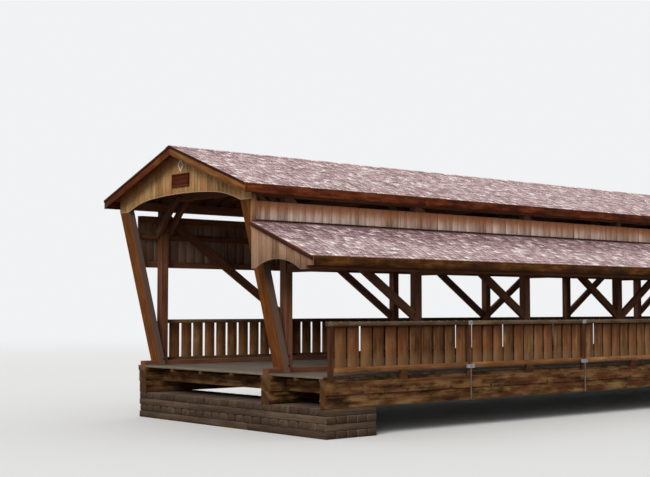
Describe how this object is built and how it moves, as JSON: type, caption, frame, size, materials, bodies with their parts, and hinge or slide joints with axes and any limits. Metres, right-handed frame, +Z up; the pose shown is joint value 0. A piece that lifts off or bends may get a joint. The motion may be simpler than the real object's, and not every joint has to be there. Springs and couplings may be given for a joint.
{
  "type": "covered footbridge",
  "caption": "Timber covered footbridge with a shingled gable roof, leaning portal legs, braced posts and a lean-to side aisle with a boarded railing.",
  "frame": {"origin": "on the ground, at the middle of the plan's bounding box", "axes": "+X along the bridge, +Y across it away from the side aisle, +Z up"},
  "size_m": [25.452, 7.24, 6.05],
  "materials": {
    "sleeper": "rough sawn, weathered",
    "beam": "rough sawn, weathered",
    "plank": "rough sawn, weathered",
    "frame_timber": "rough sawn, weathered",
    "leg_timber": "stained, semi-matt",
    "gable_board": "stained, semi-matt",
    "sign_board": "stained, semi-matt",
    "pale_paint": "flat paint",
    "siding": "rough sawn, weathered",
    "shingle": "mineral granules",
    "trim": "stained, semi-matt",
    "rail_timber": "rough sawn, weathered",
    "rail_board": "rough sawn, weathered",
    "galvanised": "galvanised, dull"
  },
  "bodies": {
    "root": {"crib_left": "sleeper", "crib_right": "sleeper", "upper_beams": "beam", "lower_beams": "beam", "floor_beams": "beam", "sills": "frame_timber", "joists": "beam", "nave_deck": "plank", "aisle_deck": "plank", "posts_near": "frame_timber", "posts_far": "frame_timber", "braces": "frame_timber", "top_plates": "frame_timber", "tie_beams": "frame_timber", "knee_braces": "frame_timber", "portal_legs": "leg_timber", "gable_walls": "gable_board", "gable_headers": "frame_timber", "name_boards": "sign_board", "emblems": "pale_paint", "clerestory_wall": "siding", "far_wall": "siding", "girts": "frame_timber", "nave_roof_near": "shingle", "nave_roof_far": "shingle", "eave_boards": "trim", "barge_boards_near": "trim", "barge_boards_far": "trim", "rafters_near": "frame_timber", "rafters_far": "frame_timber", "shed_roof": "shingle", "shed_fascia": "trim", "shed_rake_trims": "trim", "shed_rafters": "frame_timber", "shed_plate_beam": "frame_timber", "shed_arms": "frame_timber", "shed_end_walls": "gable_board", "rail_posts": "rail_timber", "aisle_rails": "rail_timber", "rail_boarding": "rail_board", "rail_plates": "galvanised", "hanger_rods": "galvanised", "far_rails": "rail_timber", "far_boarding": "rail_board"}
  },
  "joints": []
}
